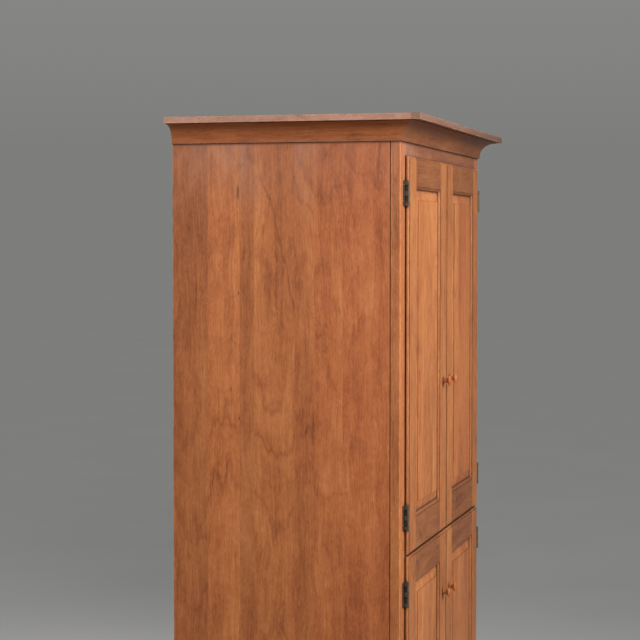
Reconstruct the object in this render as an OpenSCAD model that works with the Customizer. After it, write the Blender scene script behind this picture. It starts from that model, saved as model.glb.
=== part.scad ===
// Cherry armoire: a tall case with a coved cornice, two doors above and two doors below.
// X runs across the front, the front faces -Y and +Z is up.
// The origin is on the floor, under the centre of the cornice's outline.

/* [Case] */
// Width of the case across the face frame
case_w = 1067; // [900:1:1300]
// Depth of the case from the face frame to the back boards
case_d = 610; // [480:1:700]
// Height from the floor to the underside of the cap board
case_h = 1828; // [1760:1:2000]
// Thickness of the side panels, fixed panels and shelves
board_t = 19; // [18:0.5:20]
// Thickness of the back boards
back_t = 12; // [10:1:14]
// Number of back boards
back_count = 5; // [5:1:5]
// Height of the gap under the case, between the feet
foot_h = 60; // [40:1:75]
// Width of each foot, seen from the front or the side
foot_w = 120; // [90:1:150]

/* [Face frame] */
// Thickness of the face frame
frame_t = 25; // [22:1:28]
// Width of face frame stile left showing beside a closed door
stile_show = 53; // [45:1:65]
// Height of top rail showing between the cornice and the upper doors
rail_show = 35; // [25:1:50]
// Radius on the outer front corners of the case
corner_r = 3; // [1:0.5:5]

/* [Cornice] */
// Thickness of the cap board
cap_t = 16; // [14:1:25]
// Distance that the cap board stands past the front and the sides
cap_out = 64; // [58:1:80]
// Radius of the cove
cove_r = 43; // [36:1:46]
// Thickness and height of the lip along the cove's lower edge
cove_lip = 5; // [4:0.5:7]
// Height of the flat edge above the cove
cove_flat = 2; // [1:0.5:3]

/* [Doors] */
// Height of the lower doors
lower_door_h = 600; // [520:1:640]
// Height of the lower doors' bottom edge above the floor
lower_door_z = 113; // [108:1:130]
// Gap between the upper and lower doors
row_gap = 4; // [3:0.5:5]
// Gap between the two doors of a pair
pair_gap = 3; // [2:0.5:4]
// Thickness of a door
door_t = 19; // [19:0.5:20]
// Width of the rabbet that leaves a lip round a door
rabbet = 9.5; // [9.5:0.5:10]
// Thickness of a door's lip
lip_t = 8.5; // [8.5:0.5:9.5]
// Gap between a door's lip and the face frame
lip_gap = 3; // [2.5:0.1:3.5]
// Width of a door stile
door_stile_w = 83.5; // [80:0.5:100]
// Height of a door's top rail
top_rail_h = 76.5; // [65:0.5:85]
// Height of a door's bottom rail
bottom_rail_h = 89; // [80:0.5:100]
// Width of the bevel round a raised panel
bevel_w = 27; // [20:1:34]

/* [Hinges] */
// Height of a hinge
hinge_h = 63; // [56:1:70]
// Distance from a door's end to the middle of its hinge
hinge_inset = 97; // [80:1:120]
// Radius of the hinge barrel
barrel_r = 4.5; // [4:0.1:4.5]
// Radius of the hinge pin
pin_r = 1.6; // [1.4:0.1:1.8]

/* [Knobs] */
// Diameter of a knob
knob_d = 26; // [22:1:28]
// Height of an upper knob above the upper doors' bottom edge
upper_knob_z = 420; // [300:5:600]
// Height of a lower knob above the lower doors' bottom edge
lower_knob_z = 430; // [300:5:450]

/* [Inside] */
// Height of the adjustable shelf, as a number of peg holes above the lowest
shelf_step = 5; // [0:1:8]
// Diameter of the clothes rod
rod_d = 32; // [25:1:35]
// Height of the clothes rod above the floor
rod_z = 1655; // [1500:5:1680]

/* [Hidden] */
$fn = 64;
cut = 1;                          // how far a cutter runs past the face it opens

// Planes of the case
total_d = case_d + cap_out;
y_back = total_d / 2;
y_face = y_back - case_d;         // front of the face frame
y_frame = y_face + frame_t;       // back of the face frame
y_inner = y_back - back_t;        // front of the back boards
x_side = case_w / 2;              // outer face of a side
x_in = x_side - board_t;          // inner face of a side

// Cornice
cove_out = cove_lip + cove_r;
cove_h = cove_lip + cove_r + cove_flat;
z_cove = case_h - cove_h;

// Door sizes and places
side_clear = 2;                   // clearance round a door inside its opening
overlap = rabbet - side_clear;
door_w = (case_w - 2 * stile_show - pair_gap) / 2;
upper_door_z = lower_door_z + lower_door_h + row_gap;
upper_door_h = z_cove - rail_show - upper_door_z;
x_lip = x_side - stile_show;      // hinge edge of a door
y_door = y_face - lip_gap - lip_t;
x_open = x_lip - overlap;         // half the width of the face frame's openings

// Face frame rails
z_top_rail = z_cove - rail_show - overlap;
z_mid_rail = lower_door_z + lower_door_h - overlap;
mid_rail_h = 2 * overlap + row_gap;
z_low_opening = lower_door_z + overlap;
frame_tenon = [28, 9];            // length and thickness
tenon_shoulder = 3;
foot_r = 42;

// Joints of the case
dado = 6;
back_rabbet = 9.5;
back_lap = 8;
back_gap = 1.5;
quirk_w = 2.5;                    // width of the groove between a side and the face frame
quirk_d = 4;                      // its depth
edge_gap = 0.5;

// Door edges and joints
thumb_step = 1.5;
thumb_r = 6.5;
stick_step = 1.5;
stick_r = 8;
groove_y = stick_step + stick_r;
groove_t = 5;
groove_d = stick_r + 1;
field_y = 2.5;                    // depth of the panel's field behind the door's face
field_step = 1;
door_tenon = 35;
tenon_in = 16;                    // from a door's end to its tenon
tenon_out = 8;                    // from a tenon to the panel opening

// Hinge
axis_out = barrel_r + 0.1;        // barrel's centre beyond the door's edge
axis_y = 10;                      // barrel's centre in front of the face frame
x_axis = x_lip + axis_out;
leaf_t = 1.5;
leaf_w = 20;
knuckles = [0, 9.5, 25.5, 37.5, 53.5, 63] / 63 * hinge_h;
knuckle_gap = 0.3;
door_barrel_r = barrel_r - 0.5;
pin_clear = 0.05;
screw_r = 2;
screw_head_r = 4;
screw_head_h = 1.6;
screw_len = 16;
screw_spread = 21;                // from a hinge's middle to its screws
screw_x = 14;                     // from the barrel's centre to the screws

// Knob
knob_out = 23;
foot_rad = 8;
waist_in = 3.4;                   // centre of the waist's curve outside the foot's edge
waist_r = 6;
rim_r = 2;
dome_h = 3.6;
knob_pin_r = 4;
knob_pin_len = 13;

// Inside
peg_r = 3.2;
peg_deep = 10;
peg_len = 20;
peg_count = 9;
peg_pitch = 32;
peg_inset = 60;
peg_z = 270;
shelf_play = 1.5;
z_shelf = peg_z + shelf_step * peg_pitch + peg_r;
rod_play = 0.2;
socket_wall = 5;
socket_flange_r = 28;
socket_flange_t = 5;
socket_len = 16;
catch_size = [38, 22, 12];
catch_y = 9;                      // front of a catch behind the front of the face frame
strike_size = [18, 1.2, 10];
catch_x = 30;

// ---- Helpers ----

// A block between two corners
module block(low, high) {
    translate(low) cube(high - low);
}

// Extrudes an outline drawn in Y and Z from x0 to x1
module along_x(x0, x1) {
    translate([x0, 0, 0]) rotate([90, 0, 90]) linear_extrude(x1 - x0) children();
}

// Extrudes an outline drawn in X and Z from y0 to y1
module along_y(y0, y1) {
    translate([0, y1, 0]) rotate([90, 0, 0]) linear_extrude(y1 - y0) children();
}

// Draws its children on one side: 1 leaves them, -1 mirrors them across the case
module on_side(side) {
    if (side > 0) {
        children();
    } else {
        mirror([1, 0, 0]) children();
    }
}

// What a cutter takes off an edge at the origin: a step, then a quarter round
module moulded_edge(step, r) {
    translate([-cut, -cut]) square([r + cut, step + cut]);
    difference() {
        translate([-cut, step]) square([r + cut, r]);
        translate([r, step + r]) circle(r);
    }
}

// What rounds a corner at the origin
module rounded_corner(r) {
    difference() {
        translate([-cut, -cut]) square(r + cut);
        translate([r, r]) circle(r);
    }
}

// The gap between two feet, open below, with round upper corners
module foot_gap(a, b) {
    difference() {
        translate([a, -cut]) square([b - a, foot_h + cut]);
        translate([a, foot_h]) mirror([0, 1]) rounded_corner(foot_r);
        translate([b, foot_h]) mirror([0, 1]) mirror([1, 0]) rounded_corner(foot_r);
    }
}

// ---- Case ----

// Left side panel: dadoed for the fixed panels, rabbeted for the back, drilled for pegs
module side_panel() {
    color("#c4855f") difference() {
        block([-x_side, y_frame, 0], [-x_in, y_back, case_h]);
        block([-x_side - cut, y_frame - cut, -cut], [-x_side + quirk_d, y_frame + quirk_w, z_cove]);
        block([-x_side + back_rabbet, y_inner, z_low_opening - board_t],
              [-x_in + cut, y_back + cut, case_h + cut]);
        for (z = [z_low_opening - board_t, z_mid_rail, case_h - board_t]) {
            block([-x_in - dado, y_frame - cut, z], [-x_in + cut, y_inner + cut, z + panel_height(z)]);
        }
        along_x(-x_side - cut, -x_in + cut) foot_gap(y_face + foot_w, y_back - foot_w);
        peg_holes();
    }
}

// Height of the dado for a fixed panel with its underside at z; the top one is open above
function panel_height(z) = z > z_mid_rail ? board_t + cut : board_t;

// Centres of the peg holes' columns
function peg_columns() = [y_frame + peg_inset, y_inner - peg_inset];

module peg_holes() {
    for (y = peg_columns(), i = [0 : peg_count - 1]) {
        translate([-x_in - peg_deep, y, peg_z + i * peg_pitch]) rotate([0, 90, 0])
            cylinder(r = peg_r, h = peg_deep + cut);
    }
}

module side_left() {
    side_panel();
}

module side_right() {
    mirror([1, 0, 0]) side_panel();
}

// A fixed panel housed in the sides' dadoes, with its underside at z
module fixed_panel(z) {
    block([-x_in - dado, y_frame, z], [x_in + dado, y_inner, z + board_t]);
}

module case_top() {
    color("#b87a52") fixed_panel(case_h - board_t);
}

module middle_shelf() {
    color("#b87a52") fixed_panel(z_mid_rail);
}

module case_bottom() {
    color("#b87a52") fixed_panel(z_low_opening - board_t);
}

// One back board, shiplapped over its neighbours
module back_board(i) {
    x0 = -x_side + back_rabbet + edge_gap;
    pitch = -2 * x0 / back_count;
    a = x0 + i * pitch;
    b = a + pitch;
    first = i == 0;
    last = i == back_count - 1;
    z0 = z_low_opening - board_t;
    y_mid = y_inner + back_t / 2;
    color("#a96f4a") union() {
        block([a, y_inner, z0], [last ? b : b - back_gap, y_mid, case_h]);
        block([first ? a : a + back_lap, y_mid, z0],
              [last ? b : b + back_lap - back_gap, y_back, case_h]);
    }
}

module back_board_1() {
    back_board(0);
}

module back_board_2() {
    back_board(1);
}

module back_board_3() {
    back_board(2);
}

module back_board_4() {
    back_board(3);
}

module back_board_5() {
    back_board(4);
}

// ---- Face frame ----

// A rail's tenon or the mortise for it, at the left end of the opening
module frame_joint(z0, z1) {
    y_mid = y_face + frame_t / 2;
    block([-x_open - frame_tenon[0], y_mid - frame_tenon[1] / 2, z0 + tenon_shoulder],
          [-x_open, y_mid + frame_tenon[1] / 2, z1 - tenon_shoulder]);
}

module face_stile() {
    color("#bb7b54") difference() {
        linear_extrude(case_h) difference() {
            translate([-x_side, y_face]) square([x_side - x_open, frame_t]);
            translate([-x_side, y_face]) rounded_corner(corner_r);
        }
        frame_joint(z_top_rail, case_h);
        frame_joint(z_mid_rail, z_mid_rail + mid_rail_h);
        frame_joint(foot_h, z_low_opening);
        frame_screw_holes();
    }
}

module face_stile_left() {
    face_stile();
}

module face_stile_right() {
    mirror([1, 0, 0]) face_stile();
}

// A rail of the face frame between two heights, tenoned at both ends
module face_rail(z0, z1) {
    block([-x_open, y_face, z0], [x_open, y_frame, z1]);
    for (side = [-1, 1]) {
        on_side(side) frame_joint(z0, z1);
    }
}

module face_rail_top() {
    color("#bb7b54") face_rail(z_top_rail, case_h);
}

module face_rail_middle() {
    color("#bb7b54") face_rail(z_mid_rail, z_mid_rail + mid_rail_h);
}

// Bottom rail, cut away between two bracket feet
module face_rail_bottom() {
    color("#bb7b54") union() {
        difference() {
            block([-x_open, y_face, 0], [x_open, y_frame, z_low_opening]);
            along_y(y_face - cut, y_frame + cut) foot_gap(-x_side + foot_w, x_side - foot_w);
        }
        for (side = [-1, 1]) {
            on_side(side) frame_joint(foot_h, z_low_opening);
        }
    }
}

// ---- Cornice ----

module cap_board() {
    color("#b7855f") block([-x_side - cap_out, y_face - cap_out, case_h],
                           [x_side + cap_out, y_back, case_h + cap_t]);
}

// Cross-section of the cove, growing towards -X from the case at the origin
module cove_outline() {
    difference() {
        union() {
            translate([-cove_lip, 0]) square([cove_lip, cove_h]);
            translate([-cove_out, cove_lip]) square([cove_out, cove_h - cove_lip]);
        }
        translate([-cove_out, cove_lip]) circle(cove_r);
    }
}

// Plan of the ground that one length of cove covers, mitred at the front corners
module cove_ground(points) {
    translate([0, 0, z_cove - cut]) linear_extrude(cove_h + 2 * cut) polygon(points);
}

module cove_front() {
    reach = cove_out + cut;
    color("#8a5a3e") intersection() {
        along_x(-x_side - reach, x_side + reach)
            translate([y_face, z_cove]) cove_outline();
        cove_ground([
            [-x_side, y_face], [x_side, y_face],
            [x_side + reach, y_face - reach], [-x_side - reach, y_face - reach]
        ]);
    }
}

module cove_side() {
    reach = cove_out + cut;
    color("#8a5a3e") intersection() {
        along_y(y_face - reach, y_back) translate([-x_side, z_cove]) cove_outline();
        cove_ground([
            [-x_side, y_face], [-x_side, y_back],
            [-x_side - reach, y_back], [-x_side - reach, y_face - reach]
        ]);
    }
}

module cove_left() {
    cove_side();
}

module cove_right() {
    mirror([1, 0, 0]) cove_side();
}

// ---- Inside ----

module adjustable_shelf() {
    color("#b87a52") block([-x_in + shelf_play, y_frame + 2 * shelf_play, z_shelf],
                           [x_in - shelf_play, y_inner - 2 * shelf_play, z_shelf + board_t]);
}

// Four pegs under the adjustable shelf
module shelf_pegs() {
    color("#8c8c8c") for (side = [-1, 1], y = peg_columns()) {
        on_side(side) translate([-x_in - peg_deep, y, z_shelf - peg_r]) rotate([0, 90, 0])
            cylinder(r = peg_r, h = peg_len);
    }
}

module clothes_rod() {
    color("#c79a6e") translate([-x_in + edge_gap, (y_frame + y_inner) / 2, rod_z])
        rotate([0, 90, 0]) cylinder(d = rod_d, h = 2 * (x_in - edge_gap));
}

// Two flanged sockets that hold the clothes rod
module rod_sockets() {
    bore_r = rod_d / 2 + rod_play;
    color("#8c8c8c") for (side = [-1, 1]) {
        on_side(side) translate([-x_in, (y_frame + y_inner) / 2, rod_z]) rotate([0, 90, 0])
            difference() {
                union() {
                    cylinder(r = socket_flange_r, h = socket_flange_t);
                    cylinder(r = bore_r + socket_wall, h = socket_len);
                }
                translate([0, 0, -cut]) cylinder(r = bore_r, h = socket_len + 2 * cut);
            }
    }
}

// Magnetic catches, two above the middle shelf and two below it
module door_catches() {
    y0 = y_face + catch_y;
    half = catch_size[0] / 2;
    color("#4a3a30") for (side = [-1, 1], z = catch_heights()) {
        block([side * catch_x - half, y0, z],
              [side * catch_x + half, y0 + catch_size[1], z + catch_size[2]]);
    }
}

function catch_heights() = [z_mid_rail + mid_rail_h, z_mid_rail - catch_size[2]];

// ---- Hinges ----

// Heights of the middle of every hinge
function hinge_heights() = concat(
    door_hinges(upper_door_z, upper_door_h),
    door_hinges(lower_door_z, lower_door_h)
);

function door_hinges(z0, h) = [z0 + hinge_inset, z0 + h - hinge_inset];

// Places its children at every hinge axis on the face frame, with Z at the hinge's foot
module at_hinges() {
    for (side = [1, -1], z = hinge_heights()) {
        on_side(side) translate([-x_axis, y_face - axis_y, z - hinge_h / 2]) children();
    }
}

// The leaf screwed to the face frame, which bends forward to its three knuckles
module frame_leaf() {
    bend = -barrel_r + leaf_t;
    difference() {
        union() {
            block([-leaf_w, axis_y - leaf_t, 0], [bend, axis_y, hinge_h]);
            block([-barrel_r, 0, 0], [bend, axis_y, hinge_h]);
            cylinder(r = barrel_r, h = hinge_h);
        }
        for (i = [1, 3]) {
            translate([0, 0, knuckles[i]]) {
                block([-barrel_r - cut, -barrel_r - cut, 0],
                      [barrel_r + cut, axis_y - leaf_t, knuckles[i + 1] - knuckles[i]]);
            }
        }
        translate([0, 0, -cut]) cylinder(r = pin_r, h = hinge_h + 2 * cut);
        for (z = [-1, 1]) {
            translate([-screw_x, axis_y + cut, hinge_h / 2 + z * screw_spread])
                rotate([90, 0, 0]) cylinder(r = screw_r, h = leaf_t + 2 * cut);
        }
    }
}

module hinge_frame_leaves() {
    color("#4b3a2c") at_hinges() frame_leaf();
}

// Pins, each with a small head above and below the barrel
module hinge_pins() {
    head_h = 1.2;
    color("#4b3a2c") at_hinges() union() {
        cylinder(r = pin_r, h = hinge_h);
        for (z = [-head_h, hinge_h]) {
            translate([0, 0, z]) cylinder(r = 2 * pin_r, h = head_h);
        }
    }
}

module hinge_screws() {
    color("#3a2c22") at_hinges() for (z = [-1, 1]) {
        translate([-screw_x, axis_y - leaf_t, hinge_h / 2 + z * screw_spread]) rotate([90, 0, 0]) {
            union() {
                translate([0, 0, -leaf_t - screw_len]) cylinder(r = screw_r, h = leaf_t + screw_len);
                screw_head();
            }
        }
    }
}

// Low domed screw head with a slot
module screw_head() {
    dome_r = (screw_head_r * screw_head_r + screw_head_h * screw_head_h) / (2 * screw_head_h);
    slot = [2 * screw_head_r + cut, 1.2, screw_head_h];
    difference() {
        rotate_extrude() intersection() {
            translate([0, screw_head_h - dome_r]) circle(dome_r);
            square([screw_head_r, screw_head_h]);
        }
        translate([-slot[0] / 2, -slot[1] / 2, screw_head_h / 2]) cube(slot);
    }
}

// Holes in the left face frame stile for the hinge screws
module frame_screw_holes() {
    for (z = hinge_heights(), s = [-1, 1]) {
        translate([-x_axis - screw_x, y_face - cut, z + s * screw_spread]) rotate([-90, 0, 0])
            cylinder(r = screw_r, h = screw_len + cut);
    }
}

// ---- Doors ----
// A door is drawn with its hinge edge at x = 0, its face at y = 0 and its bottom at z = 0.

// Section through a member of width w: moulded outer edge, moulded inner edge, panel groove
module member_section(w, has_rabbet) {
    difference() {
        square([w + stick_r, door_t]);
        moulded_edge(thumb_step, thumb_r);
        if (has_rabbet) {
            translate([-cut, lip_t]) square([rabbet + cut, door_t]);
        }
        translate([w + stick_r, 0]) mirror([1, 0]) moulded_edge(stick_step, stick_r);
    }
}

// Outline of a door's edges from the side, which shapes the ends of its stiles
module door_ends(h) {
    difference() {
        square([door_t, h]);
        for (top = [0, 1]) {
            translate([0, top * h]) mirror([0, top]) {
                mirror([1, -1]) moulded_edge(thumb_step, thumb_r);
                translate([lip_t, -cut]) square([door_t, rabbet + cut]);
            }
        }
    }
}

// What mitres a stile's inner moulding at the bottom rail, and mirrored at the top rail
module stile_mitre(rail_h) {
    reach = stick_r + cut;
    along_y(-cut, door_t + cut) polygon([
        [door_stile_w, -cut], [door_stile_w + reach, -cut],
        [door_stile_w + reach, rail_h + reach], [door_stile_w, rail_h]
    ]);
}

// A rail's tenon or its mortise, at the hinge end, between two heights
module door_joint(z0, z1) {
    block([door_stile_w - door_tenon, groove_y, z0], [door_stile_w, groove_y + groove_t, z1]);
}

module top_joint(h) {
    door_joint(h - top_rail_h + tenon_out, h - tenon_in);
}

module bottom_joint() {
    door_joint(tenon_in, bottom_rail_h - tenon_out);
}

// A full-height stile drawn at the hinge edge
module door_stile(h, has_rabbet) {
    inner = door_stile_w + stick_r;
    difference() {
        intersection() {
            linear_extrude(h) member_section(door_stile_w, has_rabbet);
            along_x(-cut, inner + cut) door_ends(h);
        }
        stile_mitre(bottom_rail_h);
        translate([0, 0, h]) mirror([0, 0, 1]) stile_mitre(top_rail_h);
        block([inner - groove_d, groove_y, bottom_rail_h - cut],
              [inner + cut, groove_y + groove_t, h - top_rail_h + cut]);
        top_joint(h);
        bottom_joint();
    }
}

// A rail of height rail_h drawn at the bottom of the door
module door_rail(rail_h) {
    x0 = door_stile_w;
    x1 = door_w - door_stile_w;
    reach = stick_r + cut;
    top = rail_h + stick_r;
    difference() {
        along_x(x0, x1) mirror([1, -1]) member_section(rail_h, true);
        for (end = [[x0, 1], [x1, -1]]) {
            along_y(-cut, door_t + cut) polygon([
                [end[0], rail_h], [end[0] + end[1] * reach, rail_h + reach], [end[0], rail_h + reach]
            ]);
        }
        block([x0 - cut, groove_y, top - groove_d], [x1 + cut, groove_y + groove_t, top + cut]);
    }
}

// Half of a raised panel's section across a span, as points from one edge to the middle
function panel_edge(start) = [
    [start, groove_y + groove_t], [start, groove_y], [start + stick_r, groove_y],
    [start + stick_r + bevel_w, field_y + field_step], [start + stick_r + bevel_w, field_y]
];

// The same points mirrored about the middle of a span
function mirrored(points, middle) = [
    for (i = [len(points) - 1 : -1 : 0]) [2 * middle - points[i][0], points[i][1]]
];

module panel_section(a, b) {
    half = panel_edge(a);
    polygon(concat(half, mirrored(half, (a + b) / 2)));
}

module raised_panel(h) {
    z0 = bottom_rail_h;
    z1 = h - top_rail_h;
    intersection() {
        translate([0, 0, z0]) linear_extrude(z1 - z0)
            panel_section(door_stile_w, door_w - door_stile_w);
        along_x(door_stile_w, door_w - door_stile_w) mirror([1, -1]) panel_section(z0, z1);
    }
}

// Places a door drawn at the hinge edge; side is 1 for left and -1 for right
module place_door(side, z0) {
    on_side(side) translate([-x_lip, y_door, z0]) children();
}

module hinge_stile(h) {
    color("#c07c52") door_stile(h, true);
}

// The stile that carries the knob, square-edged at the back where the doors meet
module lock_stile(h, knob_z) {
    color("#c07c52") difference() {
        translate([door_w, 0, 0]) mirror([1, 0, 0]) door_stile(h, false);
        translate([door_w - door_stile_w / 2, -cut, knob_z]) rotate([-90, 0, 0])
            cylinder(r = knob_pin_r, h = knob_pin_len + cut);
    }
}

module bottom_rail() {
    color("#b4754d") union() {
        door_rail(bottom_rail_h);
        bottom_joint();
        translate([door_w, 0, 0]) mirror([1, 0, 0]) bottom_joint();
    }
}

module top_rail(h) {
    color("#b4754d") union() {
        translate([0, 0, h]) mirror([0, 0, 1]) door_rail(top_rail_h);
        top_joint(h);
        translate([door_w, 0, 0]) mirror([1, 0, 0]) top_joint(h);
    }
}

module panel(h) {
    color("#c98b5f") raised_panel(h);
}

// Outline of half a mushroom knob: foot, waist, rim and domed crown
module knob_outline() {
    r = knob_d / 2;
    rim_y = knob_out - dome_h - rim_r;
    dome_half = r - rim_r;
    dome_r = (dome_half * dome_half + dome_h * dome_h) / (2 * dome_h);
    difference() {
        square([foot_rad, rim_y]);
        translate([foot_rad + waist_in, rim_y / 2]) circle(waist_r);
    }
    translate([dome_half, rim_y]) circle(rim_r);
    translate([0, rim_y - rim_r]) square([dome_half, 2 * rim_r]);
    intersection() {
        translate([0, knob_out - dome_r]) circle(dome_r);
        translate([0, rim_y]) square([dome_half, knob_out]);
    }
}

// Turned knob with a dowel that is glued into the lock stile
module knob(knob_z) {
    color("#b8703f") translate([door_w - door_stile_w / 2, 0, knob_z]) rotate([90, 0, 0]) union() {
        rotate_extrude() knob_outline();
        translate([0, 0, -knob_pin_len]) cylinder(r = knob_pin_r, h = knob_pin_len);
    }
}

// One leaf that wraps behind the door's lip and is screwed to its back
module door_leaf() {
    foot = axis_y - lip_gap;
    back = foot + door_t - lip_t;
    side_x = axis_out + rabbet;
    flap_w = 26;
    difference() {
        union() {
            for (i = [1, 3]) {
                translate([0, 0, knuckles[i] + knuckle_gap]) {
                    height = knuckles[i + 1] - knuckles[i] - 2 * knuckle_gap;
                    cylinder(r = door_barrel_r, h = height);
                    block([door_barrel_r - leaf_t, 0, 0], [door_barrel_r, foot + leaf_t, height]);
                    block([door_barrel_r - leaf_t, foot, 0],
                          [axis_out + leaf_t, foot + leaf_t, height]);
                }
            }
            block([axis_out, foot, knuckle_gap], [side_x, foot + leaf_t, hinge_h - knuckle_gap]);
            block([side_x - leaf_t, foot, knuckle_gap], [side_x, back + leaf_t, hinge_h - knuckle_gap]);
            block([side_x - leaf_t, back, knuckle_gap],
                  [side_x + flap_w, back + leaf_t, hinge_h - knuckle_gap]);
        }
        translate([0, 0, -cut]) cylinder(r = pin_r + pin_clear, h = hinge_h + 2 * cut);
    }
}

module hinge_leaves(h) {
    color("#3f3025") for (z = door_hinges(0, h)) {
        translate([-axis_out, lip_t + lip_gap - axis_y, z - hinge_h / 2]) door_leaf();
    }
}

// Plate on the back of the lock stile that meets the magnetic catch
module strike(at_top, h) {
    z0 = at_top ? h - rabbet - strike_size[2] - cut : rabbet + cut;
    color("#9a9a9a") translate([door_w + pair_gap / 2 - catch_x - strike_size[0] / 2, door_t, z0])
        cube(strike_size);
}

// ---- The four doors ----

module upper_left() {
    place_door(1, upper_door_z) children();
}

module upper_right() {
    place_door(-1, upper_door_z) children();
}

module lower_left() {
    place_door(1, lower_door_z) children();
}

module lower_right() {
    place_door(-1, lower_door_z) children();
}

module upper_left_hinge_stile() {
    upper_left() hinge_stile(upper_door_h);
}

module upper_left_lock_stile() {
    upper_left() lock_stile(upper_door_h, upper_knob_z);
}

module upper_left_top_rail() {
    upper_left() top_rail(upper_door_h);
}

module upper_left_bottom_rail() {
    upper_left() bottom_rail();
}

module upper_left_panel() {
    upper_left() panel(upper_door_h);
}

module upper_left_knob() {
    upper_left() knob(upper_knob_z);
}

module upper_left_hinge_leaves() {
    upper_left() hinge_leaves(upper_door_h);
}

module upper_left_strike() {
    upper_left() strike(false, upper_door_h);
}

module upper_right_hinge_stile() {
    upper_right() hinge_stile(upper_door_h);
}

module upper_right_lock_stile() {
    upper_right() lock_stile(upper_door_h, upper_knob_z);
}

module upper_right_top_rail() {
    upper_right() top_rail(upper_door_h);
}

module upper_right_bottom_rail() {
    upper_right() bottom_rail();
}

module upper_right_panel() {
    upper_right() panel(upper_door_h);
}

module upper_right_knob() {
    upper_right() knob(upper_knob_z);
}

module upper_right_hinge_leaves() {
    upper_right() hinge_leaves(upper_door_h);
}

module upper_right_strike() {
    upper_right() strike(false, upper_door_h);
}

module lower_left_hinge_stile() {
    lower_left() hinge_stile(lower_door_h);
}

module lower_left_lock_stile() {
    lower_left() lock_stile(lower_door_h, lower_knob_z);
}

module lower_left_top_rail() {
    lower_left() top_rail(lower_door_h);
}

module lower_left_bottom_rail() {
    lower_left() bottom_rail();
}

module lower_left_panel() {
    lower_left() panel(lower_door_h);
}

module lower_left_knob() {
    lower_left() knob(lower_knob_z);
}

module lower_left_hinge_leaves() {
    lower_left() hinge_leaves(lower_door_h);
}

module lower_left_strike() {
    lower_left() strike(true, lower_door_h);
}

module lower_right_hinge_stile() {
    lower_right() hinge_stile(lower_door_h);
}

module lower_right_lock_stile() {
    lower_right() lock_stile(lower_door_h, lower_knob_z);
}

module lower_right_top_rail() {
    lower_right() top_rail(lower_door_h);
}

module lower_right_bottom_rail() {
    lower_right() bottom_rail();
}

module lower_right_panel() {
    lower_right() panel(lower_door_h);
}

module lower_right_knob() {
    lower_right() knob(lower_knob_z);
}

module lower_right_hinge_leaves() {
    lower_right() hinge_leaves(lower_door_h);
}

module lower_right_strike() {
    lower_right() strike(true, lower_door_h);
}

side_left();
side_right();
face_stile_left();
face_stile_right();
face_rail_top();
face_rail_middle();
face_rail_bottom();
case_top();
middle_shelf();
case_bottom();
back_board_1();
back_board_2();
back_board_3();
back_board_4();
back_board_5();
cap_board();
cove_front();
cove_left();
cove_right();
adjustable_shelf();
shelf_pegs();
clothes_rod();
rod_sockets();
door_catches();
hinge_frame_leaves();
hinge_pins();
hinge_screws();
upper_left_hinge_stile();
upper_left_lock_stile();
upper_left_top_rail();
upper_left_bottom_rail();
upper_left_panel();
upper_left_knob();
upper_left_hinge_leaves();
upper_left_strike();
upper_right_hinge_stile();
upper_right_lock_stile();
upper_right_top_rail();
upper_right_bottom_rail();
upper_right_panel();
upper_right_knob();
upper_right_hinge_leaves();
upper_right_strike();
lower_left_hinge_stile();
lower_left_lock_stile();
lower_left_top_rail();
lower_left_bottom_rail();
lower_left_panel();
lower_left_knob();
lower_left_hinge_leaves();
lower_left_strike();
lower_right_hinge_stile();
lower_right_lock_stile();
lower_right_top_rail();
lower_right_bottom_rail();
lower_right_panel();
lower_right_knob();
lower_right_hinge_leaves();
lower_right_strike();
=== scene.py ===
"""Cherry armoire: wood, hardware, floor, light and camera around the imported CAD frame."""
import math
import random
from collections import namedtuple

import bmesh
import bpy
from mathutils import Matrix, Vector


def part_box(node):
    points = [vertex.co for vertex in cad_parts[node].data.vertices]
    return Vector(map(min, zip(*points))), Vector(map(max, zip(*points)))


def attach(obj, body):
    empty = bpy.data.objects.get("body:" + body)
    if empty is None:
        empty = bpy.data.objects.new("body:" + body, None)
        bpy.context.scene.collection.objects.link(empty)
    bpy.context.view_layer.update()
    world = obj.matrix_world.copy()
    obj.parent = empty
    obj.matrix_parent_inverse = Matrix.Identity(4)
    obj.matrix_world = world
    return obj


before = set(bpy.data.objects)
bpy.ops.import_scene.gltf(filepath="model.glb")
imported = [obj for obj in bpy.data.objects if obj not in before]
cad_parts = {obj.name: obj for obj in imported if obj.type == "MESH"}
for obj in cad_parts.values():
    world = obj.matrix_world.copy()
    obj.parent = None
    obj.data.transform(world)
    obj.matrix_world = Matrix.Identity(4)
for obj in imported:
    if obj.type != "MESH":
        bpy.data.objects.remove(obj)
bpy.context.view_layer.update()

DOORS = ("upper_left", "upper_right", "lower_left", "lower_right")

# The tones of each timber, from its darkest grain to its palest
CHERRY_TONES = [
    (0.00, (0.165, 0.040, 0.010)),
    (0.28, (0.300, 0.077, 0.018)),
    (0.52, (0.408, 0.113, 0.027)),
    (0.76, (0.500, 0.158, 0.042)),
    (1.00, (0.590, 0.215, 0.070)),
]
CAP_TONES = [
    (0.00, (0.200, 0.078, 0.038)),
    (0.28, (0.330, 0.140, 0.074)),
    (0.52, (0.430, 0.198, 0.112)),
    (0.76, (0.510, 0.255, 0.155)),
    (1.00, (0.600, 0.330, 0.215)),
]
BACK_TONES = [
    (0.00, (0.20, 0.080, 0.035)),
    (0.50, (0.38, 0.170, 0.085)),
    (1.00, (0.52, 0.270, 0.150)),
]
ROD_TONES = [
    (0.00, (0.36, 0.20, 0.09)),
    (0.50, (0.55, 0.35, 0.19)),
    (1.00, (0.68, 0.48, 0.29)),
]
OTHER_TONES = {"back_board": BACK_TONES, "clothes_rod": ROD_TONES, "cap_board": CAP_TONES}
GOLDEN = (0.93, 1.11, 1.28, 1)     # what a board's colour is multiplied by when its blush is 0
BLUSHED = (1.01, 0.93, 1.08, 1)    # and when its blush is 1

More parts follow.
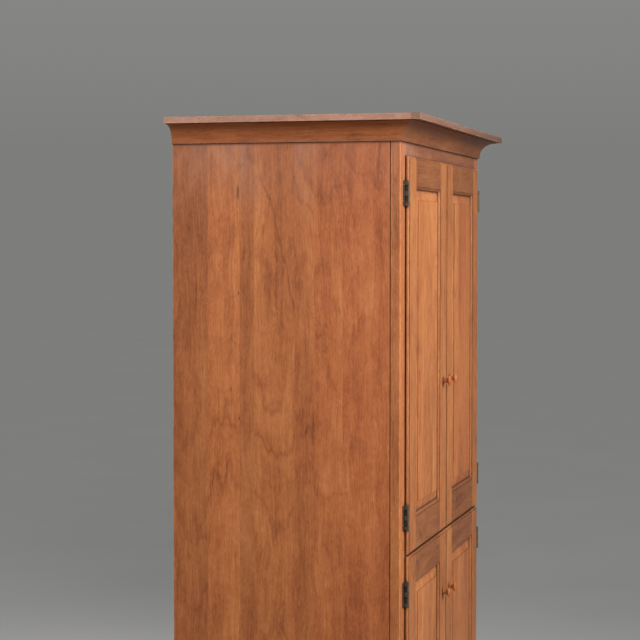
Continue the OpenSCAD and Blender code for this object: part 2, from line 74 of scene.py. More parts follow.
# What lies over the wood's colour, and how much of each shows where it is full: painted shade in
# creases, a painted sheen, real edge wear and gum pockets
# painted shade: a dark brown laid into creases and gaps where shade falls
CREASE_SHADE, CREASE_SHADE_SHOWS = (0.085, 0.024, 0.009, 1), 0.92
# painted sheen: a pale haze laid over the tops of the sides and stiles
PAINTED_SHEEN, PAINTED_SHEEN_SHOWS = (0.330, 0.215, 0.190, 1), 0.30
WORN, WORN_SHOWS = (0.60, 0.30, 0.15, 1), 0.35
PITCH, PITCH_SHOWS = (0.075, 0.026, 0.014, 1), 0.85
CORNICE_SHADOW_SHOWS = 0.62         # the painted shadow line under the cornice

# How far the painted shade reaches out of a crease, and how open a place is where it is full and
# where it ends
DEEP_CREASE = (0.0150, 0.48, 0.95)
FINE_CREASE = (0.0050, 0.62, 0.97)
CREASE_SAMPLES = 5
COVE_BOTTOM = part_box("cove_left")[0].z   # the lower edge of the cornice
CORNICE_SHADOW_H = 0.0055           # height of that painted shadow line below that edge
PAINTED_SHEEN_H = 0.22             # how far the painted sheen reaches down from it
WEAR_REACH = 0.0035        # how far an edge's wear reaches
EASED = 0.0007             # how far the wood's sharp edges are eased
DEBURRED = 0.00025         # the same on metal

RING_GAP = 0.0062          # distance between growth rings
SLOW_BEND = 0.06           # how far a trunk's long waves push its rings about
QUICK_BEND = 0.011         # the same for its short waves
FAR_APART = 11.0           # how far along the grain the boards' figures lie from each other
# How dark the wood is through one year's growth
YEAR = [(0.00, (0.15,) * 3), (0.55, (0.30,) * 3), (0.90, (1.00,) * 3), (1.00, (0.15,) * 3)]
EYE_TALL = 1.5             # how much taller than wide the rings round a hidden knot are
EYE_RIPPLE = 1.8           # how far they are out of round
EYE_CIRCLES = 3.3          # how many of them lie within its reach
EYE_DARK = 1.2             # how dark they are

# One layer of the figure: how fast it changes across and along the grain, its detail and
# roughness, and how much it counts
Layer = namedtuple("Layer", "across along detail roughness weight")
FIGURE = {
    "stripe": Layer(42.0, 1.5, 3.0, 0.55, 0.55),
    "cloud": Layer(7.0, 2.6, 3.0, 0.50, 0.78),
    "thread": Layer(150.0, 9.0, 2.0, 0.60, 0.40),
    "fibre": Layer(430.0, 10.0, 2.0, 0.60, 0.50),
    "swirl": Layer(55.0, 30.0, 3.0, 0.60, 0.46),
    "fleck": Layer(620.0, 90.0, 1.0, 0.50, 0.55),
}
PORES = Layer(1500.0, 60.0, 1.0, 0.50, 0.10)
SWAY = 0.05                # how far the figure sways sideways
MIDDLE_TONE = 0.56         # where on its timber's tones a board lies before its figure
RINGS_WEIGHT = 0.23

ROUGHNESS = 0.50
CLOUDS_DULL = 0.16         # how much rougher or smoother the clouds make it
FIBRES_DULL = 0.07
WEAR_POLISHES = 0.08
GRAIN_RELIEF = 0.00012     # height of the grain's relief, shared out as follows
FIBRES_STAND, PORES_SINK, RINGS_SINK = 0.5, 0.6, 0.3

# One glued-up board: its width, where its heart lies across it (0 to 1) and behind it in metres,
# how the heart leans along it, how bright it is and how pink
Board = namedtuple("Board", "width heart depth lean tone blush")


class Shader:
    """A material's nodes, with short calls that add one and feed its inputs."""

    def __init__(self, name):
        self.material = bpy.data.materials.new(name)
        self.material.use_nodes = True
        self.tree = self.material.node_tree
        self.surface = self.tree.nodes["Principled BSDF"]

    def feed(self, socket, value):
        if isinstance(value, bpy.types.NodeSocket):
            self.tree.links.new(value, socket)
        else:
            socket.default_value = value

    def node(self, kind, inputs=None, **settings):
        made = self.tree.nodes.new("ShaderNode" + kind)
        for key, value in settings.items():
            setattr(made, key, value)
        for key, value in (inputs or {}).items():
            self.feed(made.inputs[key], value)
        return made

    def math(self, operation, *values):
        return self.node("Math", dict(enumerate(values)), operation=operation).outputs[0]

    def vector(self, operation, *values):
        return self.node("VectorMath", dict(enumerate(values)), operation=operation).outputs[0]

    def scaled(self, vector, factor):
        return self.node("VectorMath", {0: vector, "Scale": factor}, operation="SCALE").outputs[0]

    def point(self):
        """The piece's own coordinates."""
        return self.node("TexCoord").outputs["Object"]

    def split(self, vector):
        return self.node("SeparateXYZ", {0: vector}).outputs[:3]

    def join(self, x, y, z):
        return self.node("CombineXYZ", {0: x, 1: y, 2: z}).outputs[0]

    def noise(self, vector, scale, detail, roughness=0.5):
        inputs = {"Vector": vector, "Scale": scale, "Detail": detail, "Roughness": roughness}
        return self.node("TexNoise", inputs).outputs

    def ramp(self, value, stops, interpolation="LINEAR"):
        made = self.node("ValToRGB", {0: value})
        bar = made.color_ramp
        bar.interpolation = interpolation
        while len(bar.elements) < len(stops):
            bar.elements.new(0.5)
        if len(stops) < len(bar.elements):
            bar.elements.remove(bar.elements[-1])
        for element, (place, colour) in zip(bar.elements, stops):
            element.position = place
            element.color = (*colour, 1)
        return made.outputs[0]

    def mix(self, factor, a, b, blend="MIX"):
        made = self.node("Mix", data_type="RGBA", blend_type=blend)
        for index, value in ((0, factor), (6, a), (7, b)):
            self.feed(made.inputs[index], value)
        return made.outputs[2]

    def fade(self, value, start, end, low=0.0, high=1.0):
        """A smooth step from low to high as value goes from start to end."""
        inputs = {"Value": value, "From Min": start, "From Max": end, "To Min": low, "To Max": high}
        return self.node("MapRange", inputs, interpolation_type="SMOOTHSTEP").outputs[0]

    def bump(self, height, distance):
        inputs = {"Height": height, "Distance": distance, "Strength": 1.0}
        self.feed(self.surface.inputs["Normal"], self.node("Bump", inputs).outputs[0])

    def finish(self, **sockets):
        """Feeds the surface; an underscore in a name stands for a space."""
        for key, value in sockets.items():
            self.feed(self.surface.inputs[key.replace("_", " ")], value)
        return self.material


# ---- Wood ----

def grain_axes(sh, grain, face):
    """The piece's own coordinates as (across, depth, along) the grain."""
    axes = dict(zip("XYZ", sh.split(sh.point())))
    across = next(a for a in "XYZ" if a not in (grain, face))
    return axes[across], axes[face], axes[grain]


def board_numbers(sh, across, start, boards, rng):
    """Each board's own numbers, from two ramps that step at the glue lines."""
    total = sum(b.width for b in boards)
    place = sh.math("DIVIDE", sh.math("SUBTRACT", across, start), total)
    first, second, edge = [], [], 0.0
    for b in boards:
        heart = (edge + b.heart * b.width) / total
        first.append((edge / total, (rng.random(), heart, b.depth)))
        second.append((edge / total, (b.tone / 2, b.blush, b.lean + 0.5)))
        edge += b.width
    seed, heart, depth = sh.split(sh.ramp(place, first, "CONSTANT"))
    tone, blush, lean = sh.split(sh.ramp(place, second, "CONSTANT"))
    heart = sh.math("MULTIPLY_ADD", heart, total, start)
    return seed, heart, depth, sh.math("MULTIPLY", tone, 2.0), blush, sh.math("SUBTRACT", lean, 0.5)


def wave(sh, place, scale, detail, roughness, reach):
    """A shift to and fro in every direction, up to about half of reach."""
    swing = sh.vector("SUBTRACT", sh.noise(place, scale, detail, roughness)[1], (0.5, 0.5, 0.5))
    return sh.scaled(swing, reach)


def growth_rings(sh, across, depth, along, heart, heart_depth, lean):
    """How dark the growth rings are, cut as the saw cut them from a leaning, wavy trunk."""
    slow = sh.join(sh.math("MULTIPLY", across, 3.0), depth, sh.math("MULTIPLY", along, 1.4))
    quick = sh.join(across, depth, sh.math("MULTIPLY", along, 0.35))
    bend = sh.vector("ADD", wave(sh, slow, 1.0, 1.0, 0.5, SLOW_BEND),
                     wave(sh, quick, 24.0, 2.0, 0.6, QUICK_BEND))
    leaning = sh.math("MULTIPLY", lean, along)
    trunk = sh.join(sh.math("SUBTRACT", across, heart),
                    sh.math("ADD", sh.math("ADD", depth, heart_depth), leaning), 0.0)
    flat = sh.vector("MULTIPLY", sh.vector("ADD", trunk, bend), (1, 1, 0))
    radius = sh.node("VectorMath", {0: flat}, operation="LENGTH").outputs["Value"]
    year = sh.math("DIVIDE", radius, RING_GAP)
    line = sh.ramp(sh.math("FRACT", year), YEAR)
    era = {"W": sh.math("MULTIPLY", year, 0.45), "Detail": 1.0}
    strong = sh.node("TexNoise", era, noise_dimensions="1D")
    return sh.math("MULTIPLY", line, sh.fade(strong.outputs[0], 0.35, 0.7, 0.25))


def figure(sh, across, depth, along):
    """The figure's layers and the pores, drawn out along the grain and swaying a little."""
    lazy = sh.join(sh.math("MULTIPLY", across, 9.0), depth, sh.math("MULTIPLY", along, 3.5))
    swayed = sh.math("MULTIPLY_ADD", sh.noise(lazy, 1.0, 2.0)[0], SWAY, across)

    def drawn(layer):
        speeds = ((swayed, layer.across), (depth, layer.across), (along, layer.along))
        place = sh.join(*(sh.math("MULTIPLY", value, speed) for value, speed in speeds))
        return sh.noise(place, 1.0, layer.detail, layer.roughness)[0]

    layers = {name: drawn(layer) for name, layer in FIGURE.items()}
    return layers, sh.fade(drawn(PORES), 0.62, 0.72)


def place_in_tones(sh, layers, pores, rings):
    """Where each point lies on its timber's tones."""
    value = MIDDLE_TONE
    for name, layer in FIGURE.items():
        swing = sh.math("SUBTRACT", layers[name], 0.5)
        value = sh.math("ADD", value, sh.math("MULTIPLY", swing, layer.weight))
    for dark, weight in ((rings, RINGS_WEIGHT), (pores, PORES.weight)):
        value = sh.math("SUBTRACT", value, sh.math("MULTIPLY", dark, weight))
    return value


def edge_wear(sh, box):
    """1 along the edges of a box and 0 away from them, broken up here and there."""
    low, high = box
    point = sh.point()
    away = sh.vector("ABSOLUTE", sh.vector("SUBTRACT", point, tuple((low + high) / 2)))
    a, b, c = sh.split(sh.vector("SUBTRACT", tuple((high - low) / 2), away))
    nearest, other = sh.math("MINIMUM", a, b), sh.math("MAXIMUM", a, b)
    second_nearest = sh.math("MAXIMUM", nearest, sh.math("MINIMUM", other, c))
    near = sh.fade(second_nearest, 0.0, WEAR_REACH, 1.0, 0.0)
    return sh.math("MULTIPLY", near, sh.fade(sh.noise(point, 34.0, 3.0)[0], 0.38, 0.62))


def creases(sh, kinds):
    """Painted shade: 1 deep in the gaps and corners between pieces, where shade falls, and 0 out in
    the open.
    """
    shaded = 0.0
    for reach, full, clean in kinds:
        sky = sh.node("AmbientOcclusion", {"Distance": reach}, samples=CREASE_SAMPLES)
        shaded = sh.math("MAXIMUM", shaded, sh.fade(sky.outputs["AO"], full, clean, 1.0, 0.0))
    return shaded


def below_cornice(sh, cloud):
    """The painted shadow line right under the cornice and the cloudy painted sheen below it, as two
    factors.
    """
    height = sh.split(sh.point())[2]
    line = sh.fade(height, COVE_BOTTOM - 1.25 * CORNICE_SHADOW_H, COVE_BOTTOM - 0.75 * CORNICE_SHADOW_H)
    sheen_mask = sh.fade(height, COVE_BOTTOM - PAINTED_SHEEN_H, COVE_BOTTOM)
    return line, sh.math("MULTIPLY", sheen_mask, sh.fade(cloud, 0.40, 0.62, 0.25, 1.0))


def oval(sh, across, along, place, height, wide, tall):
    """0 at a place and 1 on the oval round it with that half width and half height."""
    u = sh.math("DIVIDE", sh.math("SUBTRACT", across, place), wide)
    v = sh.math("DIVIDE", sh.math("SUBTRACT", along, height), tall)
    return sh.math("SQRT", sh.math("ADD", sh.math("MULTIPLY", u, u), sh.math("MULTIPLY", v, v)))


def eye_rings(sh, across, along, eyes):
    """Small closed rings round hidden knots, and how far each one's figure rules the wood there."""
    lines = ruled = 0.0
    ripple = sh.noise(sh.join(across, 0.0, along), 30.0, 3.0, 0.6)[0]
    for place, height, reach in eyes:
        away = oval(sh, across, along, place, height, reach, EYE_TALL * reach)
        away = sh.math("MULTIPLY_ADD", sh.math("SUBTRACT", ripple, 0.5), EYE_RIPPLE, away)
        circle = sh.math("PINGPONG", sh.math("MULTIPLY", away, EYE_CIRCLES), 0.5)
        near = sh.fade(away, 0.25, 1.0, 1.0, 0.0)
        lines = sh.math("MULTIPLY_ADD", sh.math("MULTIPLY", circle, EYE_DARK), near, lines)
        ruled = sh.math("MAXIMUM", ruled, near)
    return lines, ruled


def pitch_marks(sh, across, along, marks):
    """1 inside small dark gum pockets, each (across, along, half width, half length)."""
    total = 0.0
    for mark in marks:
        inside = sh.fade(oval(sh, across, along, *mark), 0.4, 1.0, 1.0, 0.0)
        total = sh.math("MAXIMUM", total, inside)
    return total


def oiled(sh, colour, layers, pores, rings, wear):
    """A thin oil finish: duller in clouds, polished on worn edges, with the grain's relief."""
    cloud, fibre = layers["cloud"], layers["fibre"]
    rough = sh.math("MULTIPLY_ADD", sh.math("SUBTRACT", cloud, 0.5), CLOUDS_DULL, ROUGHNESS)
    rough = sh.math("MULTIPLY_ADD", fibre, FIBRES_DULL, rough)
    rough = sh.math("SUBTRACT", rough, sh.math("MULTIPLY", wear, WEAR_POLISHES))
    relief = sh.math("MULTIPLY", fibre, FIBRES_STAND)
    for low, depth in ((pores, PORES_SINK), (rings, RINGS_SINK)):
        relief = sh.math("SUBTRACT", relief, sh.math("MULTIPLY", low, depth))
    sh.bump(relief, GRAIN_RELIEF)
    return sh.finish(Base_Color=colour, Roughness=rough, Specular_IOR_Level=0.30,
                     Coat_Weight=0.03, Coat_Roughness=0.35)


def wood(name, grain, face, start, boards, box, tones=CHERRY_TONES,
         creased=(DEEP_CREASE, FINE_CREASE), marks=(), eyes=(), meets_cornice=False):
    """Oiled timber whose grain runs along one axis and whose wide face looks along another."""
    sh = Shader(name)
    across, depth, along = grain_axes(sh, grain, face)
    seed, heart, heart_depth, tone, blush, lean = board_numbers(
        sh, across, start, boards, random.Random(name))
    far = sh.math("MULTIPLY_ADD", seed, FAR_APART, along)
    rings = growth_rings(sh, across, depth, far, heart, heart_depth, lean)
    if eyes:
        lines, ruled = eye_rings(sh, across, along, eyes)
        rings = sh.math("MULTIPLY_ADD", rings, sh.math("SUBTRACT", 1.0, ruled), lines)
    layers, pores = figure(sh, across, depth, far)

    colour = sh.scaled(sh.ramp(place_in_tones(sh, layers, pores, rings), tones), tone)
    colour = sh.mix(1.0, colour, sh.mix(blush, GOLDEN, BLUSHED), "MULTIPLY")
    # painted shade, darker deep in creases and in the gaps between pieces
    painted_shade = sh.math("MULTIPLY", creases(sh, creased), CREASE_SHADE_SHOWS)
    if meets_cornice:
        line, sheen_mask = below_cornice(sh, layers["cloud"])
        # painted sheen high on the sides and stiles, in clouds
        colour = sh.mix(sh.math("MULTIPLY", sheen_mask, PAINTED_SHEEN_SHOWS), colour, PAINTED_SHEEN)
        # painted shadow line right under the cornice's lip
        painted_shade = sh.math("MAXIMUM", painted_shade, sh.math("MULTIPLY", line, CORNICE_SHADOW_SHOWS))
    # the painted shade and the painted shadow line under the cornice go on as a dark brown
    colour = sh.mix(painted_shade, colour, CREASE_SHADE)
    wear = edge_wear(sh, box)
    colour = sh.mix(sh.math("MULTIPLY", wear, WORN_SHOWS), colour, WORN)
    if marks:
        pitch = sh.math("MULTIPLY", pitch_marks(sh, across, along, marks), PITCH_SHOWS)
        colour = sh.mix(pitch, colour, PITCH)
    return oiled(sh, colour, layers, pores, rings, wear)


# ---- Metal and plastic ----

METAL_RELIEF = 0.00006
PLASTIC_RELIEF = 0.00005
HIGHLIGHT_EDGE = 0.001           # half of the depth over which the metal's painted highlight turns to painted shade


def mottled_metal(name, dark, light, rough, scale, metallic=0.9, lit_front=None):
    """Plated or patinated metal: two tones in clouds, with a painted highlight in front of some Y and
    painted shade behind it.
    """
    sh = Shader(name)
    point = sh.point()
    cloud = sh.noise(point, scale, 4.0, 0.6)[0]
    grit = sh.noise(point, scale * 9, 2.0)[0]
    colour = sh.mix(sh.fade(cloud, 0.34, 0.66), (*dark, 1), (*light, 1))
    roughness = sh.math("MULTIPLY_ADD", grit, 0.22, sh.math("MULTIPLY_ADD", cloud, 0.2, rough))
    if lit_front:
        # painted highlight on the barrels in front of that Y, painted shade on the plates behind it
        forward = sh.fade(sh.split(point)[1], lit_front + HIGHLIGHT_EDGE, lit_front - HIGHLIGHT_EDGE, 0.25, 1.0)
        colour = sh.mix(forward, (*dark, 1), sh.mix(0.6, colour, (*light, 1)))
    sh.bump(sh.math("ADD", cloud, sh.math("MULTIPLY", grit, 0.4)), METAL_RELIEF)
    return sh.finish(Base_Color=colour, Roughness=roughness, Metallic=metallic)


def moulded_plastic(name, colour):
    """Dull plastic with a fine sparkle, half as bright again in its clouds."""
    sh = Shader(name)
    point = sh.point()
    spark = sh.noise(point, 2600.0, 1.0)[0]
    cloud = sh.noise(point, 60.0, 2.0)[0]
    lighter = tuple(c * 1.5 for c in colour)
    shade = sh.mix(cloud, (*colour, 1), (*lighter, 1))
    sh.bump(spark, PLASTIC_RELIEF)
    return sh.finish(Base_Color=shade, Roughness=sh.math("MULTIPLY_ADD", cloud, 0.2, 0.38))


# ---- Which member gets what ----

def plain_board(rng, width, tone, blush):
    """A single board cut somewhere off the heart of its own trunk."""
    heart, depth, lean = rng.uniform(0.2, 0.8), rng.uniform(0.03, 0.12), rng.uniform(-0.03, 0.03)
    return Board(width, heart, depth, lean, tone, blush)


def split_boards(rng, total, count, tone, blush):
    """A panel glued up from boards of uneven width and slightly different tone."""
    shares = [rng.uniform(0.8, 1.25) for _ in range(count)]
    boards = []
    for share in shares:
        its_tone = tone * rng.uniform(0.94, 1.06)
        its_blush = blush + rng.uniform(-0.25, 0.25)
        boards.append(plain_board(rng, total * share / sum(shares), its_tone, its_blush))
    return boards


# The left side's boards from front to back
SIDE_BOARDS = [
    Board(0.125, 0.35, 0.050, 0.020, 1.00, 0.75),
    Board(0.074, 0.60, 0.030, -0.030, 1.03, 0.60),
    Board(0.053, 0.10, 0.080, 0.015, 0.97, 0.45),
    Board(0.111, 0.50, 0.100, 0.010, 1.03, 0.35),
    Board(0.038, 0.20, 0.120, 0.010, 0.92, 0.40),
    Board(0.087, 0.80, 0.090, -0.015, 1.10, 0.40),
    Board(0.097, 0.40, 0.060, 0.020, 0.90, 0.40),
]
# Gum pockets on the left side: place across, height, half width and half length
SIDE_MARKS = [
    (0.158, 1.652, 0.0028, 0.024),
    (0.157, 1.390, 0.0022, 0.007),
    (0.155, 1.064, 0.0020, 0.006),
    (-0.112, 1.573, 0.0016, 0.004),
    (-0.205, 1.625, 0.0016, 0.005),
]
# Hidden knots on the left side that bend its figure: place across, height and reach
SIDE_EYES = [
    (-0.055, 1.345, 0.055),
    (-0.085, 1.255, 0.040),
    (0.060, 1.330, 0.030),
    (-0.120, 1.130, 0.045),
    (0.250, 1.375, 0.040),
    (-0.030, 0.930, 0.040),
]
# The cap board's boards from front to back, behind a darker strip along its front edge
CAP_BOARDS = [
    Board(0.022, 0.40, 0.050, 0.000, 0.50, 0.50),
    Board(0.150, 0.30, 0.060, 0.010, 0.90, 0.45),
    Board(0.170, 0.70, 0.040, -0.010, 0.94, 0.40),
    Board(0.160, 0.20, 0.080, 0.010, 0.88, 0.35),
    Board(0.172, 0.60, 0.050, 0.020, 0.91, 0.40),
]
KNOWN_BOARDS = {"side_left": SIDE_BOARDS, "cap_board": CAP_BOARDS}
EXTRAS = {"side_left": {"marks": SIDE_MARKS, "eyes": SIDE_EYES}}
MEETS_CORNICE = ("side_", "face_stile_", "face_rail_top")

# Grain axis, wide face's axis, number of boards, tone and blush of each kind of member; the last
# three are 0 where all of its nodes have known boards
MEMBERS = {
    "side": ("Z", "X", 6, 1.0, 0.45),
    "face_stile": ("Z", "Y", 1, 1.09, 0.22),
    "face_rail": ("X", "Y", 1, 0.66, 0.35),
    "case_top": ("X", "Z", 5, 0.9, 0.3),
    "middle_shelf": ("X", "Z", 5, 0.9, 0.3),
    "case_bottom": ("X", "Z", 5, 0.9, 0.3),
    "adjustable_shelf": ("X", "Z", 4, 0.95, 0.3),
    "back_board": ("Z", "Y", 1, 1.0, 0.2),
    "cap_board": ("X", "Z", 0, 0, 0),
    # The coves' tones, lower than the sides' and lowest on the front, are painted shade on their
    # downward-facing curves
    "cove_front": ("X", "Y", 1, 0.56, 0.2),
    "cove_left": ("Y", "X", 1, 0.80, 0.5),
    "cove_right": ("Y", "X", 1, 0.72, 0.2),
    "clothes_rod": ("X", "Y", 1, 1.0, 0.0),
    "hinge_stile": ("Z", "Y", 1, 0.98, 0.0),
    "lock_stile": ("Z", "Y", 1, 1.00, 0.0),
    "top_rail": ("X", "Y", 1, 0.62, 0.20),
    "bottom_rail": ("X", "Y", 1, 0.62, 0.20),
    "panel": ("Z", "Y", 3, 1.12, 0.10),
    "knob": ("Y", "X", 1, 1.05, 0.5),
}


def member_of(node):
    """The kind of wooden member a node is, or None for hardware."""
    return next((kind for kind in sorted(MEMBERS, key=len, reverse=True) if kind in node), None)


def door_box(door):
    """The outline of one closed door's wood."""
    boxes = [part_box(f"{door}_{part}") for part in ("hinge_stile", "lock_stile")]
    low = Vector(map(min, boxes[0][0], boxes[1][0]))
    high = Vector(map(max, boxes[0][1], boxes[1][1]))
    return low, high


def wood_for(node, kind):
    """The wood of one node: its own boards, grain, edges and marks."""
    grain, face, count, tone, blush = MEMBERS[kind]
    rng = random.Random(node)
    low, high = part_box(node)
    axis = next(i for i, a in enumerate("XYZ") if a not in (grain, face))
    width = high[axis] - low[axis]
    door = next((d for d in DOORS if node.startswith(d)), None)
    box = door_box(door) if door and kind != "knob" else (low, high)
    extras = dict(EXTRAS.get(node, {}), meets_cornice=node.startswith(MEETS_CORNICE))
    if kind == "knob":
        extras.update(creased=(FINE_CREASE,))
    if kind in OTHER_TONES:
        extras.update(tones=OTHER_TONES[kind])
    tone *= rng.uniform(0.98, 1.02)
    if node in KNOWN_BOARDS:
        boards = KNOWN_BOARDS[node]
    elif count == 1:
        boards = [plain_board(rng, width, tone, blush)]
    else:
        boards = split_boards(rng, width, count, tone, blush)
    return wood(node + "_wood", grain, face, low[axis], boards, box, **extras)


def ease_edges(piece, width):
    """Rounds a CAD piece's sharp edges a little, inside its own outline."""
    bevel = piece.modifiers.new("eased", "BEVEL")
    bevel.width = width
    bevel.segments = 2
    bevel.limit_method = "ANGLE"
    bevel.angle_limit = math.radians(40)
    bevel.harden_normals = True
    bevel.use_clamp_overlap = True


HINGE_FRONT = -0.2765      # the hinges' barrels stand in front of this Y and their plates behind it
# the lighter barrels and darker plates of this bronze are painted highlight and painted shade
BRONZE = mottled_metal("antique_bronze_metal", (0.020, 0.014, 0.010), (0.130, 0.082, 0.046),
                       0.42, 240.0, metallic=0.35, lit_front=HINGE_FRONT)
BRONZE_SCREW = mottled_metal("bronze_screw_metal", (0.022, 0.016, 0.012), (0.120, 0.085, 0.055),
                             0.28, 400.0)
ZINC = mottled_metal("zinc_metal", (0.42, 0.42, 0.41), (0.66, 0.66, 0.63), 0.24, 180.0)
CATCH = moulded_plastic("catch_plastic", (0.050, 0.030, 0.020))
HARDWARE = {
    "hinge_frame_leaves": BRONZE,
    "hinge_pins": BRONZE,
    "hinge_leaves": BRONZE,
    "hinge_screws": BRONZE_SCREW,
    "strike": ZINC,
    "shelf_pegs": ZINC,
    "rod_sockets": ZINC,
    "door_catches": CATCH,
}


def dress_nodes():
    """Gives each wooden CAD node its own material and each hardware node its shared one, and eases
    the edges of all but the knobs and the clothes rod.
    """
    for node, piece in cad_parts.items():
        metal = next((m for part, m in HARDWARE.items() if node.endswith(part)), None)
        kind = member_of(node)
        piece.material_slots[0].material = metal or wood_for(node, kind)
        if metal:
            ease_edges(piece, DEBURRED)
        elif kind not in ("knob", "clothes_rod"):
            ease_edges(piece, EASED)


# ---- Small hardware that only shows close to ----

SCREW_R = 0.0034           # radius and height of the screws' heads
SCREW_H = 0.0016
RIM = 0.3                  # how much of that height is the head's straight rim
HEAD_SIDES = 28
DOME_STEPS = 6
RECESS_LENGTH = 1.25       # the cross recess, in head radii
RECESS_WIDTH = 0.28
RECESS_MIDDLE = 0.85       # and the height of its middle, in head heights


def lathe(bm, outline, sides):
    """Turns an outline of (radius, height) points about Z; it starts and ends on the axis."""
    turns = [math.tau * i / sides for i in range(sides)]
    rings = [[bm.verts.new((radius * math.cos(t), radius * math.sin(t), height)) for t in turns]
             for radius, height in outline[1:-1]]
    ends = [bm.verts.new((0, 0, outline[0][1])), bm.verts.new((0, 0, outline[-1][1]))]
    for i in range(sides):
        j = (i + 1) % sides
        bm.faces.new((ends[0], rings[0][j], rings[0][i]))
        bm.faces.new((ends[1], rings[-1][i], rings[-1][j]))
        for a, b in zip(rings, rings[1:]):
            bm.faces.new((a[i], a[j], b[j], b[i]))


def bar_mesh(bm, size, middle):
    """Adds a square bar and returns its corners."""
    bar = bmesh.ops.create_cube(bm, size=1.0)["verts"]
    bmesh.ops.scale(bm, vec=size, verts=bar)
    bmesh.ops.translate(bm, vec=middle, verts=bar)
    return bar


def mesh_object(name, bm):
    mesh = bpy.data.meshes.new(name)
    bmesh.ops.recalc_face_normals(bm, faces=bm.faces)
    bm.to_mesh(mesh)
    bm.free()
    made = bpy.data.objects.new(name, mesh)
    bpy.context.scene.collection.objects.link(made)
    return made


def screw_head_mesh(radius, height):
    """A low domed head with a cross recess, lying on Z = 0."""
    bm = bmesh.new()
    dome = [(radius * math.cos(a), height * (RIM + (1 - RIM) * math.sin(a)))
            for a in (math.pi / 2 * i / DOME_STEPS for i in range(DOME_STEPS))]
    lathe(bm, [(0, 0), (radius, 0), *dome, (0, height)], HEAD_SIDES)
    head = mesh_object("head", bm)
    bm = bmesh.new()
    for turn in (0, math.pi / 2):
        bar = bar_mesh(bm, (RECESS_LENGTH * radius, RECESS_WIDTH * radius, height),
                       (0, 0, RECESS_MIDDLE * height))
        bmesh.ops.rotate(bm, matrix=Matrix.Rotation(turn, 3, "Z"), verts=bar)
    recess = mesh_object("recess", bm)
    cut = head.modifiers.new("recess", "BOOLEAN")
    cut.object = recess
    cut.operation = "DIFFERENCE"
    cut.use_self = True
    cut_head = head.evaluated_get(bpy.context.evaluated_depsgraph_get())
    mesh = bpy.data.meshes.new_from_object(cut_head)
    for spare in (head, recess):
        bpy.data.objects.remove(spare)
    return mesh


def add_screws(name, body, material, head, places, facing):
    """Screw heads at some places, all facing one way, as one piece that rides on a body."""
    turn = Vector(facing).to_track_quat("Z", "X").to_matrix().to_4x4()
    rng = random.Random(name)
    bm = bmesh.new()
    for place in places:
        one = bmesh.new()
        one.from_mesh(head)
        spin = Matrix.Rotation(rng.uniform(0, math.pi), 4, "Z")
        bmesh.ops.transform(one, matrix=Matrix.Translation(place) @ turn @ spin, verts=one.verts)
        part = bpy.data.meshes.new("part")
        one.to_mesh(part)
        bm.from_mesh(part)
        one.free()
        bpy.data.meshes.remove(part)
    piece = mesh_object(name, bm)
    piece.data.materials.append(material)
    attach(piece, body)


def door_screws(head):
    """Two screws through each hinge leaf on a door's back, and one through its strike plate."""
    hinge_h = 0.0624
    from_end = 0.009
    spread = 0.019
    for door in DOORS:
        low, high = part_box(f"{door}_hinge_leaves")
        x = high.x - from_end if door.endswith("left") else low.x + from_end
        middles = (low.z + hinge_h / 2, high.z - hinge_h / 2)
        places = [Vector((x, high.y, z + s * spread)) for z in middles for s in (-1, 1)]
        body = f"{door}_door"
        add_screws(f"{door}_leaf_screws", body, BRONZE_SCREW, head, places, (0, 1, 0))
        low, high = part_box(f"{door}_strike")
        places = [Vector(((low.x + high.x) / 2, high.y, (low.z + high.z) / 2))]
        add_screws(f"{door}_strike_screw", body, ZINC, head, places, (0, 1, 0))


def socket_screws(head):
    """Three screws through each clothes rod socket's flange."""
    low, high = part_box("rod_sockets")
    flange = 0.005
    ring = 0.0245
    middle = (low + high) / 2
    turns = [math.radians(a) for a in (90, 210, 330)]
    for side, x, facing in (("left", low.x + flange, 1), ("right", high.x - flange, -1)):
        places = [Vector((x, middle.y + ring * math.cos(t), middle.z + ring * math.sin(t)))
                  for t in turns]
        add_screws(f"socket_screws_{side}", "case", ZINC, head, places, (facing, 0, 0))


def catch_plates():
    """Two bright pole plates on the front of each magnetic catch."""
    wide, tall = 0.038, 0.012      # one catch
    plate = Vector((0.030, 0.0003, 0.0018))
    apart = 0.0052
    low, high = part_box("door_catches")
    bm = bmesh.new()
    for x in (low.x + wide / 2, high.x - wide / 2):
        for z in (low.z + tall / 2, high.z - tall / 2):
            for step in (-apart / 2, apart / 2):
                bar_mesh(bm, plate, (x, low.y, z + step))
    piece = mesh_object("catch_plates", bm)
    piece.data.materials.append(ZINC)
    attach(piece, "case")


# ---- Floor, light and camera ----

FLOOR_REACH = 40.0
HORIZON, HORIZON_AT = (0.207, 0.207, 0.200, 1), 0.05
OVERHEAD, OVERHEAD_AT = (0.50, 0.50, 0.49, 1), 0.75
# Each light's name, place, target, size and power
LIGHTS = (
    ("key", (-0.6, -4.6, 3.0), (-0.8, -0.3, 1.5), 1.6, 32),
    ("fill", (-4.6, -1.9, 3.1), (-0.5, -0.2, 1.85), 1.6, 16.5),
    ("sheen", (-4.3, 1.5, 3.0), (-0.5, 0, 1.8), 1.4, 5),
    ("rear", (1.8, 4.0, 4.0), (0, 0.3, 1.5), 2.0, 26),
)


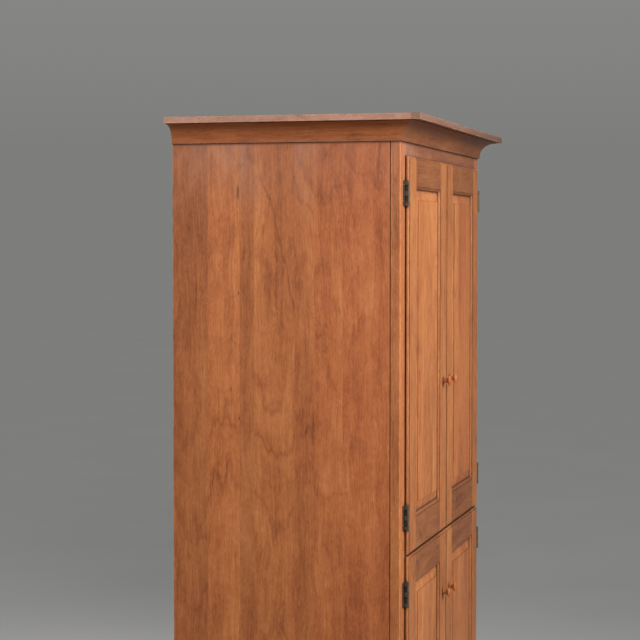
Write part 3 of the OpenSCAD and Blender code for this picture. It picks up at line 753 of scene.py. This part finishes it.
def pale_floor():
    bm = bmesh.new()
    bmesh.ops.create_grid(bm, x_segments=1, y_segments=1, size=FLOOR_REACH)
    floor = mesh_object("floor", bm)
    sh = Shader("pale_floor")
    cloud = sh.noise(sh.point(), 1.5, 3.0)[0]
    shade = sh.mix(cloud, (0.40, 0.40, 0.395, 1), (0.44, 0.44, 0.435, 1))
    floor.data.materials.append(sh.finish(Base_Color=shade, Roughness=0.7))


def soft_world():
    """A plain grey room, brighter overhead."""
    world = bpy.data.worlds.new("studio")
    world.use_nodes = True
    bpy.context.scene.world = world
    tree = world.node_tree
    coords = tree.nodes.new("ShaderNodeTexCoord")
    parts = tree.nodes.new("ShaderNodeSeparateXYZ")
    ramp = tree.nodes.new("ShaderNodeValToRGB")
    tree.links.new(coords.outputs["Generated"], parts.inputs[0])
    tree.links.new(parts.outputs["Z"], ramp.inputs[0])
    tree.links.new(ramp.outputs[0], tree.nodes["Background"].inputs["Color"])
    horizon, overhead = ramp.color_ramp.elements
    horizon.position, horizon.color = HORIZON_AT, HORIZON
    overhead.position, overhead.color = OVERHEAD_AT, OVERHEAD


def soft_light(name, place, target, size, power):
    lamp = bpy.data.lights.new(name, "AREA")
    lamp.shape = "DISK"
    lamp.size = size
    lamp.spread = math.radians(60)
    lamp.energy = power
    made = bpy.data.objects.new(name, lamp)
    made.location = place
    made.rotation_mode = "QUATERNION"
    made.rotation_quaternion = (Vector(target) - Vector(place)).to_track_quat("-Z", "Y")
    made.visible_camera = False
    bpy.context.scene.collection.objects.link(made)


def camera():
    """At eye height far to the left, turned from +X towards +Y, and looking slightly down."""
    turned = math.radians(15.29)
    down = math.radians(2.40)
    level = math.cos(down)
    ahead = Vector((level * math.cos(turned), level * math.sin(turned), -math.sin(down)))
    data = bpy.data.cameras.new("camera")
    data.lens = 104.9
    data.sensor_width = 36.0
    made = bpy.data.objects.new("camera", data)
    made.location = (-5.140, -1.3215, 1.523)
    made.rotation_mode = "QUATERNION"
    made.rotation_quaternion = ahead.to_track_quat("-Z", "Y")
    bpy.context.scene.collection.objects.link(made)
    bpy.context.scene.camera = made


dress_nodes()
screw_head = screw_head_mesh(SCREW_R, SCREW_H)
door_screws(screw_head)
socket_screws(screw_head)
catch_plates()
bpy.data.meshes.remove(screw_head)

pale_floor()
soft_world()
for light in LIGHTS:
    soft_light(*light)
camera()
bpy.context.scene.view_settings.view_transform = "Standard"
